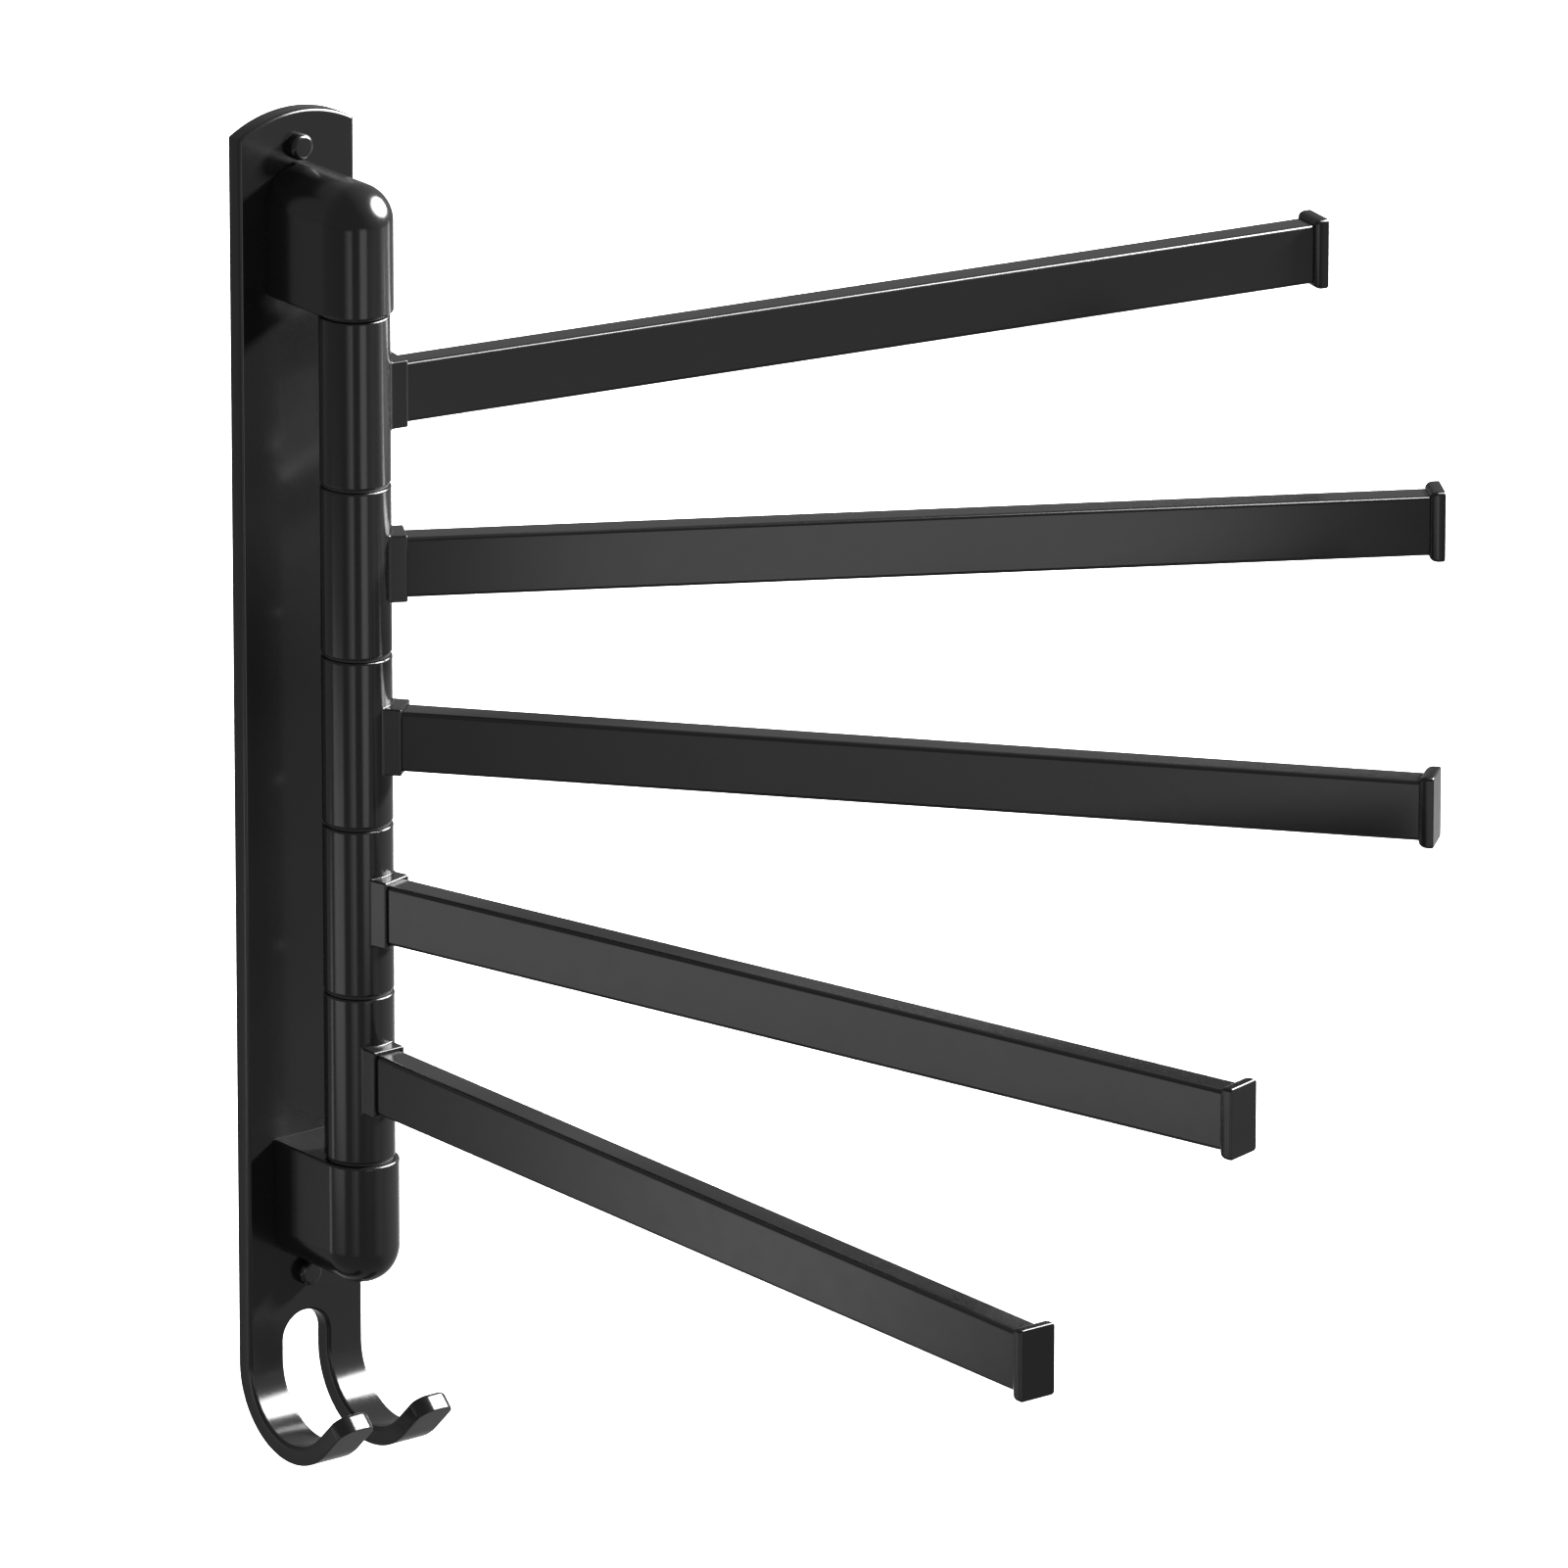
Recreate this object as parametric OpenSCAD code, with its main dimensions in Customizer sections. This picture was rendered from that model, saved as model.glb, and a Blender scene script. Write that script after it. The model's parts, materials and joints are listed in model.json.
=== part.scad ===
// Wall rack with five towel arms that swing about one upright rod.
// The origin is on the wall, on the plate's centreline and at the middle of
// the sleeve stack. X runs to the right, Y into the wall and Z up.

/* [Wall plate] */
// Width of the wall plate
plate_w = 40; // [32:1:60]
// Thickness of the wall plate and of its hook
plate_t = 5.5; // [4:0.5:8]
// Rise of the domed top above the plate's shoulders
dome_rise = 5.4; // [2:0.2:12]
// Height of the plate's shoulders above the upper wall screw
shoulder_rise = 4.9; // [4:0.1:20]

/* [Hook] */
// Inner radius of the hook's bend
hook_r = 18.5; // [12:0.5:26]
// Angle through which the hook turns from straight down
hook_turn = 135; // [100:5:160]
// Length of the straight stretch at each prong's end
prong_len = 13.5; // [5:0.5:20]
// Width of the slot that splits the hook into two prongs
slot_w = 15.6; // [8:0.2:22]
// Plate left between the lower wall screw's head and the slot
slot_gap = 8.3; // [3:0.1:30]
// Straight run from the slot's round top to the start of the bend
bend_drop = 12.7; // [11:0.1:40]

/* [Brackets] */
// Width of each bracket, twice the radius of its round nose and arched end
bracket_w = 22.4; // [21.4:0.2:28]
// Height of each bracket from its flat inner face to its domed end
bracket_h = 37.3; // [34:0.1:60]
// Clear distance from the plate's front face to the pivot axis
pivot_gap = 26.5; // [20:0.5:45]

/* [Pivot rod] */
// Diameter of the pivot rod
rod_d = 8; // [6:0.5:9]
// Depth to which the rod enters each bracket
rod_seat = 22; // [12:1:24]
// Chamfer at each end of the rod
rod_chamfer = 0.8; // [0.2:0.1:1.5]

/* [Sleeves] */
// Outer diameter of each sleeve
sleeve_d = 20.3; // [19.4:0.1:21]
// Distance from one arm to the next
sleeve_pitch = 50; // [40:1:80]
// Gap between neighbouring sleeves, filled by a washer
joint_gap = 0.8; // [0.6:0.1:1.6]
// Outer diameter of each thrust washer
washer_d = 18.8; // [14:0.2:19]
// Outer diameter of each nylon bush
bush_d = 12; // [11:0.2:12.4]
// Length of each nylon bush
bush_len = 12; // [6:0.5:16]

/* [Arms] */
// Distance from the pivot axis to the outer face of an end cap
arm_reach = 309.7; // [150:0.1:450]
// Height of an arm bar
bar_h = 17.7; // [12:0.1:24]
// Thickness of an arm bar
bar_t = 8.9; // [6:0.1:11]
// Wall of the arm bar's tube
bar_wall = 1.2; // [0.8:0.1:2]
// Outer corner radius of the arm bar's tube
bar_round = 1; // [0.3:0.1:1.2]
// Height of a bar's middle above its sleeve's middle
bar_lift = 0.5; // [0:0.1:3]
// Angle of the first arm, from the right along the wall towards the room
arm_1_angle = 10; // [0:1:180]
// Angle of the second arm
arm_2_angle = 30; // [0:1:180]
// Angle of the third arm
arm_3_angle = 50; // [0:1:180]
// Angle of the fourth arm
arm_4_angle = 75; // [0:1:180]
// Angle of the fifth arm
arm_5_angle = 90; // [0:1:180]

/* [Bosses and end caps] */
// Height by which a boss stands proud of the bar that it holds
boss_lip = 1; // [0.6:0.1:2]
// Distance from a sleeve's surface to the end of its boss
boss_len = 3.85; // [2:0.05:10]
// Metal left between a bush and the bar's socket
socket_wall = 1.5; // [1:0.1:1.8]
// Height by which an end cap's flange stands proud of the bar
cap_lip = 1.6; // [0.6:0.1:3]
// Thickness of an end cap's flange
cap_t = 4.5; // [2:0.1:8]
// Corner radius of an end cap's flange
cap_round = 1; // [0.3:0.1:1.5]
// Length of the plug that enters the bar
cap_plug = 12; // [6:0.5:25]

/* [Wall screws] */
// Diameter of a wall screw's head
head_d = 7.6; // [6.4:0.1:9]
// Height of a wall screw's head
head_h = 3.2; // [2:0.1:4]
// Rounding of the head's rim
head_round = 0.8; // [0.2:0.1:1.2]
// Clearance between a bracket's end and the head beside it
head_gap = 0.9; // [0.5:0.1:6]
// Diameter of the plain shank inside the plate
shank_d = 4; // [3:0.1:4.1]
// Diameter of the thread behind the plate
thread_d = 4.2; // [3.2:0.1:4.4]
// Diameter of the plate's hole for a wall screw
wall_hole_d = 5; // [4.8:0.1:5.4]
// Depth to which a wall screw enters the wall
wall_depth = 18; // [15:1:50]
// Length of the screw's point
point_len = 4; // [2:0.5:6]

/* [Bracket screws] */
// Diameter of a bracket screw's countersunk head
csk_d = 7.6; // [6:0.1:8.4]
// Height of the head's cone
csk_h = 2; // [1.4:0.1:2.4]
// Depth of the head below the plate's back face
csk_sink = 0.2; // [0.1:0.1:0.6]
// Diameter of a bracket screw's shank
bracket_screw_d = 4; // [3:0.1:4.6]
// Length of a bracket screw
bracket_screw_len = 16; // [12:0.5:18]
// Distance from a bracket's inner face to its first screw
bracket_screw_inset = 8; // [6:0.5:10]
// Distance between a bracket's two screws
bracket_screw_pitch = 16; // [11:0.5:18]
// Span of the cross recess in a bracket screw's head
recess_span = 4.4; // [3:0.1:4.8]
// Width of the recess's arms
recess_w = 0.8; // [0.5:0.1:1.2]
// Depth of the recess
recess_depth = 1.2; // [0.6:0.1:1.4]

/* [Hidden] */
$fn = 64;

// Clearance of pieces that are pressed, glued or screwed together
fit_gap = 0.03;
// Radial clearance of the bushes on the rod
run_gap = 0.05;
// Clearance on each side of a thrust washer
washer_gap = 0.05;
// Clearance of a washer's bore on the rod
washer_bore_gap = 0.15;
// Clearance round a bracket screw in the plate
screw_gap = 0.1;
// Room left past the end of a rod or screw in its blind hole
end_gap = 0.4;
// Overrun of a cut past the face that it leaves
overrun = 1;
// Steps along the arc of the hook's bend
bend_steps = 48;

arm_angles = [arm_1_angle, arm_2_angle, arm_3_angle, arm_4_angle, arm_5_angle];
arm_count = len(arm_angles);

// Depth of the pivot axis in front of the wall
axis_y = plate_t + pivot_gap;
// Half the height of the sleeve stack, to the middle of its end joints
stack_half = arm_count * sleeve_pitch / 2;
// Height of a bracket's flat inner face
seat_z = stack_half + joint_gap / 2;
bracket_r = bracket_w / 2;
bracket_end_z = seat_z + bracket_h;
// Height at which a bracket's arch and ball begin
ball_z = bracket_end_z - bracket_r;

wall_screw_z = bracket_end_z + head_gap + head_d / 2;
shoulder_z = wall_screw_z + shoulder_rise;
apex_z = shoulder_z + dome_rise;
// Radius of the arc through the plate's two shoulders and its apex
dome_r = (pow(plate_w / 2, 2) + pow(dome_rise, 2)) / (2 * dome_rise);

// Depths below the middle of the stack
slot_top_z = wall_screw_z + head_d / 2 + slot_gap;
slot_round_z = slot_top_z + slot_w / 2;
bend_z = slot_top_z + bend_drop;
prong_w = (plate_w - slot_w) / 2;

sleeve_len = sleeve_pitch - joint_gap;
washer_t = joint_gap - 2 * washer_gap;
boss_end = sleeve_d / 2 + boss_len;
boss_h = bar_h + 2 * boss_lip;
boss_t = bar_t + 2 * boss_lip;
socket_start = bush_d / 2 + fit_gap + socket_wall;
bar_start = socket_start + fit_gap;
bar_end = arm_reach - cap_t;
bar_len = bar_end - bar_start;
bore_h = bar_h - 2 * bar_wall;
bore_t = bar_t - 2 * bar_wall;

function arm_z(n) = stack_half - (n - 1 / 2) * sleeve_pitch;

// Puts its children on a wall screw's axis, the local Z running into the room
module wall_screw_places() {
    for (side = [-1, 1])
        translate([0, 0, side * wall_screw_z])
            rotate([90, 0, 0])
                children();
}

// Puts its children on the two screw axes of a bracket, upper or lower
module bracket_screw_places(side) {
    for (rise = [0, bracket_screw_pitch])
        translate([0, 0, side * (seat_z + bracket_screw_inset + rise)])
            rotate([90, 0, 0])
                children();
}

// Puts its children on one arm, its X running out along the bar
module arm_frame(n) {
    translate([0, -axis_y, arm_z(n)])
        rotate([0, 0, -arm_angles[n - 1]])
            children();
}

// Flat rectangle with round corners, centred
module rounded_rectangle(width, height, corner) {
    square([width - 2 * corner, height], center = true);
    square([width, height - 2 * corner], center = true);
    for (x = [-1, 1], y = [-1, 1])
        translate([x * (width / 2 - corner), y * (height / 2 - corner)])
            circle(r = corner);
}

// Front view of the plate's flat part, with its domed top and slot
module plate_outline() {
    difference() {
        union() {
            translate([-plate_w / 2, -bend_z])
                square([plate_w, bend_z + shoulder_z]);
            intersection() {
                translate([0, apex_z - dome_r])
                    circle(r = dome_r);
                translate([-plate_w / 2, shoulder_z - dome_rise])
                    square([plate_w, 2 * dome_rise]);
            }
        }
        translate([0, -slot_round_z])
            circle(d = slot_w);
        translate([-slot_w / 2, -bend_z - overrun])
            square([slot_w, bend_z - slot_round_z + overrun]);
    }
}

// Point of the hook's side view at a radius and a turn of the bend, as [Y, Z]
function on_bend(radius, turn) = [
    radius * cos(turn) - plate_t - hook_r,
    -radius * sin(turn) - bend_z
];

// Side view of one prong: its bend and its straight end
module prong_outline() {
    tip = prong_len * [-sin(hook_turn), -cos(hook_turn)];
    polygon(concat(
        [for (i = [0 : bend_steps]) on_bend(hook_r + plate_t, i * hook_turn / bend_steps)],
        [on_bend(hook_r + plate_t, hook_turn) + tip, on_bend(hook_r, hook_turn) + tip],
        [for (i = [bend_steps : -1 : 0]) on_bend(hook_r, i * hook_turn / bend_steps)]
    ));
}

// One prong of the hook, on the left for a side of -1 and on the right for 1
module prong(side) {
    translate([side > 0 ? slot_w / 2 : -plate_w / 2, 0, 0])
        rotate([90, 0, 90])
            linear_extrude(height = prong_w)
                prong_outline();
}

// Countersunk hole through the plate, from its back face
module countersink() {
    translate([0, 0, -overrun])
        cylinder(d = csk_d + 2 * screw_gap, h = csk_sink + overrun);
    translate([0, 0, csk_sink])
        cylinder(d1 = csk_d + 2 * screw_gap, d2 = bracket_screw_d + 2 * screw_gap, h = csk_h);
    cylinder(d = bracket_screw_d + 2 * screw_gap, h = plate_t + overrun);
}

module back_plate() {
    color("#1c1c1e")
        difference() {
            union() {
                rotate([90, 0, 0])
                    linear_extrude(height = plate_t)
                        plate_outline();
                prong(-1);
                prong(1);
            }
            wall_screw_places()
                translate([0, 0, -overrun])
                    cylinder(d = wall_hole_d, h = plate_t + 2 * overrun);
            for (side = [-1, 1])
                bracket_screw_places(side)
                    countersink();
        }
}

// Front view of the upper bracket, flat below and arched above
module bracket_arch() {
    translate([-bracket_r, seat_z])
        square([bracket_w, ball_z - seat_z]);
    translate([0, ball_z])
        circle(r = bracket_r);
}

// Upper bracket: an arched block with a ball nose round the pivot axis
module bracket_shape() {
    difference() {
        union() {
            translate([0, -plate_t, 0])
                rotate([90, 0, 0])
                    linear_extrude(height = pivot_gap)
                        bracket_arch();
            translate([0, -axis_y, 0])
                rotate([0, 0, 180])
                    rotate_extrude(angle = 180)
                        intersection() {
                            bracket_arch();
                            translate([0, seat_z])
                                square([bracket_w, bracket_h]);
                        }
        }
        translate([0, -axis_y, seat_z - overrun])
            cylinder(d = rod_d + 2 * fit_gap, h = rod_seat + end_gap + overrun);
        bracket_screw_places(1)
            translate([0, 0, plate_t - overrun])
                cylinder(
                    d = bracket_screw_d + 2 * fit_gap,
                    h = bracket_screw_len + end_gap - plate_t + overrun
                );
    }
}

module upper_bracket() {
    color("#19191b")
        bracket_shape();
}

module lower_bracket() {
    color("#19191b")
        mirror([0, 0, 1])
            bracket_shape();
}

module pivot_rod() {
    half = seat_z + rod_seat;
    color("#a9abb0")
        translate([0, -axis_y, 0]) {
            cylinder(d = rod_d, h = 2 * (half - rod_chamfer), center = true);
            for (flip = [0, 180])
                rotate([flip, 0, 0])
                    translate([0, 0, half - rod_chamfer])
                        cylinder(d1 = rod_d, d2 = rod_d - 2 * rod_chamfer, h = rod_chamfer);
        }
}

// Thrust washer under sleeve n - 1 and over sleeve n, counted from the top
module thrust_washer(n) {
    color("#2a2a2c")
        translate([0, -axis_y, stack_half - (n - 1) * sleeve_pitch])
            difference() {
                cylinder(d = washer_d, h = washer_t, center = true);
                cylinder(d = rod_d + 2 * washer_bore_gap, h = washer_t + 2 * overrun, center = true);
            }
}

// Countersunk screw with a cross recess, its local Z running into the room
module bracket_screw() {
    difference() {
        union() {
            translate([0, 0, csk_sink])
                cylinder(d1 = csk_d, d2 = bracket_screw_d, h = csk_h);
            translate([0, 0, csk_sink + csk_h])
                cylinder(d = bracket_screw_d, h = bracket_screw_len - csk_sink - csk_h);
        }
        for (turn = [0, 90])
            rotate([0, 0, turn])
                translate([-recess_span / 2, -recess_w / 2, csk_sink - overrun])
                    cube([recess_span, recess_w, recess_depth + overrun]);
    }
}

module bracket_screws() {
    color("#8f9196")
        for (side = [-1, 1])
            bracket_screw_places(side)
                bracket_screw();
}

// Round head of a wall screw, standing on the plate's front face
module screw_head() {
    rotate_extrude() {
        square([head_d / 2, head_h - head_round]);
        square([head_d / 2 - head_round, head_h]);
        translate([head_d / 2 - head_round, head_h - head_round])
            intersection() {
                circle(r = head_round);
                square([head_round, head_round]);
            }
    }
}

module wall_screws() {
    color("#202022")
        wall_screw_places() {
            translate([0, 0, plate_t])
                screw_head();
            cylinder(d = shank_d, h = plate_t);
            translate([0, 0, point_len - wall_depth])
                cylinder(d = thread_d, h = wall_depth - point_len);
            translate([0, 0, -wall_depth])
                cylinder(d1 = 0, d2 = thread_d, h = point_len);
        }
}

// Sleeve with the boss and socket that hold an arm bar
module sleeve(n) {
    color("#1e1e20")
        arm_frame(n)
            difference() {
                union() {
                    cylinder(d = sleeve_d, h = sleeve_len, center = true);
                    translate([0, -boss_t / 2, bar_lift - boss_h / 2])
                        cube([boss_end, boss_t, boss_h]);
                }
                cylinder(d = bush_d + 2 * fit_gap, h = sleeve_len + 2 * overrun, center = true);
                translate([socket_start, -bar_t / 2 - fit_gap, bar_lift - bar_h / 2 - fit_gap])
                    cube([boss_end - socket_start + overrun, bar_t + 2 * fit_gap, bar_h + 2 * fit_gap]);
            }
}

// Pair of nylon bushes, one at each end of a sleeve
module bush(n) {
    color("#e6e1d3")
        arm_frame(n)
            for (flip = [0, 180])
                rotate([flip, 0, 0])
                    translate([0, 0, sleeve_len / 2 - bush_len])
                        difference() {
                            cylinder(d = bush_d, h = bush_len);
                            translate([0, 0, -overrun])
                                cylinder(d = rod_d + 2 * run_gap, h = bush_len + 2 * overrun);
                        }
}

// Rectangular tube, its first stretch inside the sleeve's socket
module arm_bar(n) {
    color("#232325")
        arm_frame(n)
            translate([bar_start, 0, bar_lift])
                rotate([90, 0, 90])
                    linear_extrude(height = bar_len)
                        difference() {
                            rounded_rectangle(bar_t, bar_h, bar_round);
                            square([bore_t, bore_h], center = true);
                        }
}

// End cap: a flange over the bar's end and a plug inside it
module end_cap(n) {
    color("#1a1a1c")
        arm_frame(n)
            translate([bar_end, 0, bar_lift])
                rotate([90, 0, 90]) {
                    linear_extrude(height = cap_t)
                        rounded_rectangle(bar_t + 2 * cap_lip, bar_h + 2 * cap_lip, cap_round);
                    translate([-bore_t / 2 + fit_gap, -bore_h / 2 + fit_gap, -cap_plug])
                        cube([bore_t - 2 * fit_gap, bore_h - 2 * fit_gap, cap_plug]);
                }
}

back_plate();
upper_bracket();
lower_bracket();
pivot_rod();
thrust_washer(1);  // thrust_washer_1
thrust_washer(2);  // thrust_washer_2
thrust_washer(3);  // thrust_washer_3
thrust_washer(4);  // thrust_washer_4
thrust_washer(5);  // thrust_washer_5
thrust_washer(6);  // thrust_washer_6
bracket_screws();
wall_screws();
sleeve(1);  // sleeve_1
sleeve(2);  // sleeve_2
sleeve(3);  // sleeve_3
sleeve(4);  // sleeve_4
sleeve(5);  // sleeve_5
bush(1);  // bush_1
bush(2);  // bush_2
bush(3);  // bush_3
bush(4);  // bush_4
bush(5);  // bush_5
arm_bar(1);  // arm_bar_1
arm_bar(2);  // arm_bar_2
arm_bar(3);  // arm_bar_3
arm_bar(4);  // arm_bar_4
arm_bar(5);  // arm_bar_5
end_cap(1);  // end_cap_1
end_cap(2);  // end_cap_2
end_cap(3);  // end_cap_3
end_cap(4);  // end_cap_4
end_cap(5);  // end_cap_5
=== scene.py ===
"""Builds the looks of a swing arm wall rack round its packed model.

Every painted piece is modelled again with rounded edges, and the pieces inside keep the
packed model's shape and get a finish. Lengths are in metres and angles in radians, except
where a docstring says degrees.
"""

import json
import math

import bmesh
import bpy
from bpy.props import FloatProperty, FloatVectorProperty, IntProperty, PointerProperty
from bpy.types import Operator, Panel, PropertyGroup
from mathutils import Matrix, Vector

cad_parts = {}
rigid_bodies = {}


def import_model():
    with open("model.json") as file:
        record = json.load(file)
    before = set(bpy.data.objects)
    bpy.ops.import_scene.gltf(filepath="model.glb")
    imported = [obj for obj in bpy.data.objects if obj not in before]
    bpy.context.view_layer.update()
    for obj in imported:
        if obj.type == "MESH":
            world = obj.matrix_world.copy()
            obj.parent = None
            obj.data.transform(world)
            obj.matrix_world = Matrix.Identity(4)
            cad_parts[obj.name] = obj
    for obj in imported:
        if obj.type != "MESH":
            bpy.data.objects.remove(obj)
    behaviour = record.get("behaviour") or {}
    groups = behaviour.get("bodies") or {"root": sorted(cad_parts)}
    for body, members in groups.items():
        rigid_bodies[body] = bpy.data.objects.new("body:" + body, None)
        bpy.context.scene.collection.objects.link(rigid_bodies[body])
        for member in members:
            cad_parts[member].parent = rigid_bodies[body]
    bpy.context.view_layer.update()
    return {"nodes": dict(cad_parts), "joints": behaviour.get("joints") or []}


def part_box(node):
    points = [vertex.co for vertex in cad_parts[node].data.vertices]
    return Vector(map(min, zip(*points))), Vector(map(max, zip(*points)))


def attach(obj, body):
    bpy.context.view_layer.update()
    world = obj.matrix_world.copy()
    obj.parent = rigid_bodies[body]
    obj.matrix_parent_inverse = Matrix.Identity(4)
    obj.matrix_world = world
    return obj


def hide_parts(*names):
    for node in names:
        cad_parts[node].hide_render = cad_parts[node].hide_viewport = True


bl_info = {
    "name": "Swing arm wall rack",
    "version": (1, 0, 0),
    "blender": (4, 5, 0),
    "location": "View3D > Sidebar > Rack",
    "description": "Painted wall rack with five swinging arms, on a pale studio floor",
    "category": "Add Mesh",
}

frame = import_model()
JOINTS = frame["joints"]
ARMS = range(1, len(JOINTS) + 1)

# The frame's own sizes
PIVOT_Y = JOINTS[0]["pos_m"][1]
PLATE_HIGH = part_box("back_plate")[1]
BRACKET_LOW, BRACKET_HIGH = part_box("upper_bracket")
SCREWS_LOW, SCREWS_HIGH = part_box("wall_screws")
ROD_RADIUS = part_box("pivot_rod")[1].x
BUSH_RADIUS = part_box("bush_1")[1].x

# The arm that stands square to the wall gives the sizes of all five
SQUARE_ARM = next(n for n, joint in zip(ARMS, JOINTS) if abs(joint["range_deg"][0] + 90) < 0.01)
SLEEVE_LOW, SLEEVE_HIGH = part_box(f"sleeve_{SQUARE_ARM}")
BAR_LOW, BAR_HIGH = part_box(f"arm_bar_{SQUARE_ARM}")
CAP_LOW, CAP_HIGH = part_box(f"end_cap_{SQUARE_ARM}")
ARM_Z = JOINTS[SQUARE_ARM - 1]["pos_m"][2]

# Steps in the curves, and in one turn of the thread
DOME_STEPS = 28
PRONG_STEPS = 10
HOLE_STEPS = 20
NOSE_STEPS = 20
NOSE_END_STEPS = 18
BORE_STEPS = 24
SLEEVE_RIM_STEPS = 4
BOSS_SIDE_STEPS = 16
SLEEVE_STEPS = 72
CAP_FACE_STEPS = 4
CAP_BACK_STEPS = 8
HEAD_RIM_STEPS = 6
SHAFT_STEPS = 48
THREAD_STEPS = 24

# The thread's ridge: its foot as a share of the core's radius, half its width as a share of
# the pitch, and what is left of it at the screw's tip
RIDGE_FOOT = 0.9
RIDGE_HALF = 0.3
RIDGE_TIP = 0.08

# How near to a hole its rim is looked for, in radii of the hole
HOLE_REACH = 1.1
BORE_REACH = 1.5

TINY = 1e-6
NEAR = 10 * TINY
X, Y, Z = range(3)
X_AXIS = Vector((1, 0, 0))
Y_AXIS = Vector((0, 1, 0))
Z_AXIS = Vector((0, 0, 1))
QUARTER = math.pi / 2
SMOOTH_ANGLE = math.radians(35)
SHARP_ANGLE = 1


def length(name, description, default):
    """A length that a user can set, in metres."""
    return FloatProperty(
        name=name, description=description, default=default, min=0, precision=5,
        subtype="DISTANCE", unit="LENGTH",
    )


def angle(name, description, default):
    """An angle that a user can set, given here in degrees."""
    return FloatProperty(
        name=name, description=description, default=math.radians(default),
        subtype="ANGLE", unit="ROTATION",
    )


def share(name, description, default):
    """A share from 0 to 1 that a user can set."""
    return FloatProperty(
        name=name, description=description, default=default, min=0, max=1, subtype="FACTOR"
    )


def colour(name, description, default):
    """A linear colour that a user can set."""
    return FloatVectorProperty(
        name=name, description=description, default=default, min=0, max=1, size=3, subtype="COLOR"
    )


class RackPlateSizes(PropertyGroup):
    """Sizes of the wall plate and its hook."""

    dome_rise: length("Dome rise", "Rise of the top above the shoulders", 0.0054)
    hook_radius: length("Hook radius", "Inner radius of the hook's bend", 0.0185)
    hook_turn: angle("Hook turn", "Turn of the hook from straight down", 135)
    prong_length: length("Prong length", "Straight stretch at a prong's end", 0.0135)
    prong_corner: length("Prong corner", "Corner radius of a prong's end", 0.0046)
    slot_width: length("Slot width", "Width of the slot between the prongs", 0.0156)
    slot_gap: length("Slot gap", "Plate between the lower screw head and the slot", 0.0083)
    bend_drop: length("Bend drop", "From the slot's top to the start of the bend", 0.0127)
    screw_hole: length("Screw hole", "Radius of a wall screw's hole", 0.0025)
    bracket_hole: length("Bracket screw hole", "Radius of a bracket screw's hole", 0.0021)
    bracket_inset: length("Bracket screw inset", "From a bracket's inner face to a screw", 0.008)
    bracket_pitch: length("Bracket screw pitch", "Distance between a bracket's screws", 0.016)
    countersink: length("Countersink", "Width of the cone round a bracket screw", 0.0021)
    front_rim: length("Front rim", "Rounding of the front edge", 0.0011)
    back_rim: length("Back rim", "Rounding of the back edge", 0.0004)
    bend_steps: IntProperty(name="Bend steps", description="Steps in the bend", default=44, min=8)


class RackBracketSizes(PropertyGroup):
    """Sizes of the two brackets."""

    bore_depth: length("Bore depth", "Depth of the pivot rod's hole", 0.0224)
    bore_gap: length("Bore gap", "Clearance round the rod", 0.00003)
    inner_rim: length("Inner rim", "Rounding of the edge beside the sleeves", 0.0008)
    plate_rim: length("Plate rim", "Rounding of the edge against the plate", 0.00025)


class RackArmSizes(PropertyGroup):
    """Sizes of the sleeves, bars and end caps."""

    sleeve_rim: length("Sleeve rim", "Rounding of a sleeve's ends", 0.00075)
    bore_rim: length("Bore rim", "Chamfer at a sleeve's bore", 0.0003)
    bush_gap: length("Bush gap", "Clearance round a bush", 0.00003)
    boss_lip: length("Boss lip", "Height of a boss above its bar", 0.001)
    boss_rim: length("Boss rim", "Rounding of a boss's edges and its root", 0.0005)
    bar_gap: length("Bar gap", "Clearance round a bar in its socket", 0.00003)
    bar_round: length("Bar corner", "Corner radius of a bar", 0.0012)
    bar_wall: length("Bar wall", "Wall of a bar's tube", 0.0012)
    cap_round: length("Cap corner", "Corner radius of an end cap", 0.001)
    cap_face: length("Cap face", "Rounding of a cap's outer face", 0.0005)
    cap_back: length("Cap back", "Length of the rounded back of a cap", 0.0026)
    plug_length: length("Plug length", "Length of the plug inside the bar", 0.012)


class RackScrewSizes(PropertyGroup):
    """Sizes of the wall screws."""

    head_round: length("Head rim", "Rounding of the head's rim", 0.0013)
    shank_radius: length("Shank", "Radius of the plain shank", 0.002)
    core_radius: length("Thread core", "Radius of the core under the thread", 0.0015)
    thread_radius: length("Thread", "Outer radius of the thread", 0.0021)
    thread_pitch: length("Thread pitch", "Distance between turns of the thread", 0.0018)
    point_length: length("Point", "Length of the screw's point", 0.004)


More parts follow.
